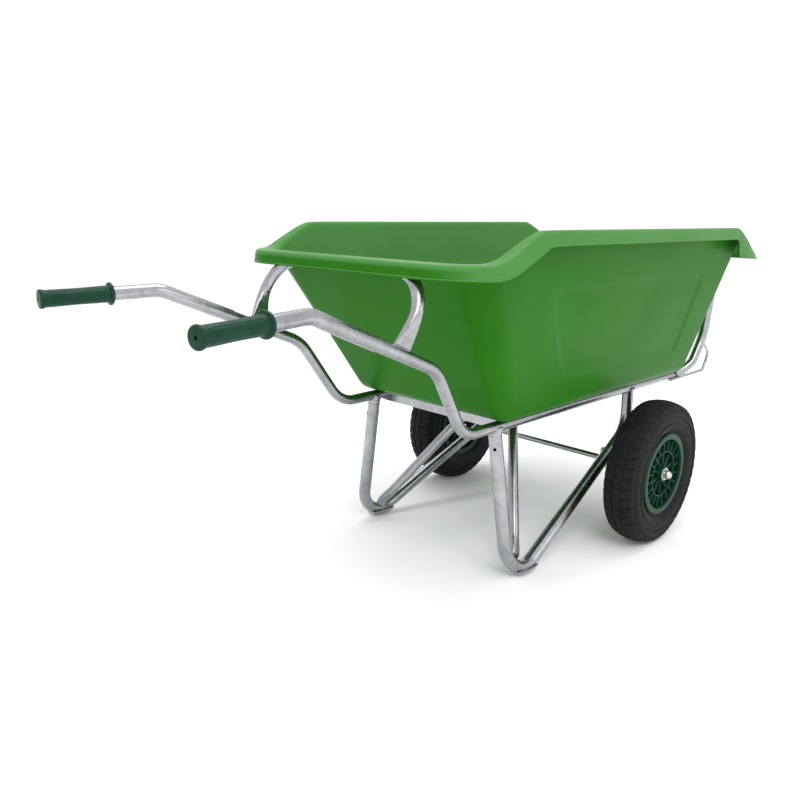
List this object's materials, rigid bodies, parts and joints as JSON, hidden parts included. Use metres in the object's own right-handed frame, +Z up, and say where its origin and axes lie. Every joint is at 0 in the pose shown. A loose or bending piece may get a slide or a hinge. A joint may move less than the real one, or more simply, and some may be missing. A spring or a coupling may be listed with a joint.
{
  "type": "two-wheeled stable barrow",
  "caption": "Two-wheeled tipping barrow with a deep plastic tub, a bent tube frame, handle grips, standing legs and free-turning pneumatic wheels.",
  "frame": {"origin": "on the ground, in the middle of the barrow's length and width", "axes": "+X towards the dumping lip, +Y towards the left wheel, +Z up"},
  "size_m": [2.0073, 0.811, 0.8663],
  "materials": {
    "tub_plastic": "smooth moulded polyethylene, satin",
    "galvanised": "hot-dip galvanised, satin",
    "green_plastic": "moulded, satin",
    "tyre": "dull rubber",
    "rubber": "dull rubber",
    "nylon": "plain moulded",
    "zinc": "bright zinc plated"
  },
  "bodies": {
    "frame": {"tub": "tub_plastic", "tub_bolts": "zinc", "tub_nuts": "zinc", "frame_tube_left": "galvanised", "frame_tube_right": "galvanised", "handle_tube_left": "galvanised", "handle_tube_right": "galvanised", "grip_left": "green_plastic", "grip_right": "green_plastic", "rear_hoop": "galvanised", "front_hoop": "galvanised", "tip_stop_left": "galvanised", "tip_stop_right": "galvanised", "leg_left": "galvanised", "leg_right": "galvanised", "leg_brace_left": "galvanised", "leg_brace_right": "galvanised", "foot_shoe_left": "galvanised", "foot_shoe_right": "galvanised", "rear_cross_strip": "galvanised", "middle_cross_strip": "galvanised", "axle": "galvanised", "axle_bracket_left": "galvanised", "axle_bracket_right": "galvanised", "axle_spacer_left": "galvanised", "axle_spacer_right": "galvanised", "axle_washers": "zinc", "axle_cap_left": "zinc", "axle_cap_right": "zinc"},
    "wheel_left": {"tyre_left": "tyre", "inner_tube_left": "rubber", "rim_left": "green_plastic", "wheel_bushes_left": "nylon", "valve_left": "rubber"},
    "wheel_right": {"tyre_right": "tyre", "inner_tube_right": "rubber", "rim_right": "green_plastic", "wheel_bushes_right": "nylon", "valve_right": "rubber"}
  },
  "joints": [
    {"name": "wheel_left_spin", "type": "hinge", "parent": "frame", "child": "wheel_left", "pos_m": [0.415, 0.348, 0.2], "axis": [0, 1, 0], "continuous": true},
    {"name": "wheel_right_spin", "type": "hinge", "parent": "frame", "child": "wheel_right", "pos_m": [0.415, -0.348, 0.2], "axis": [0, 1, 0], "continuous": true}
  ]
}
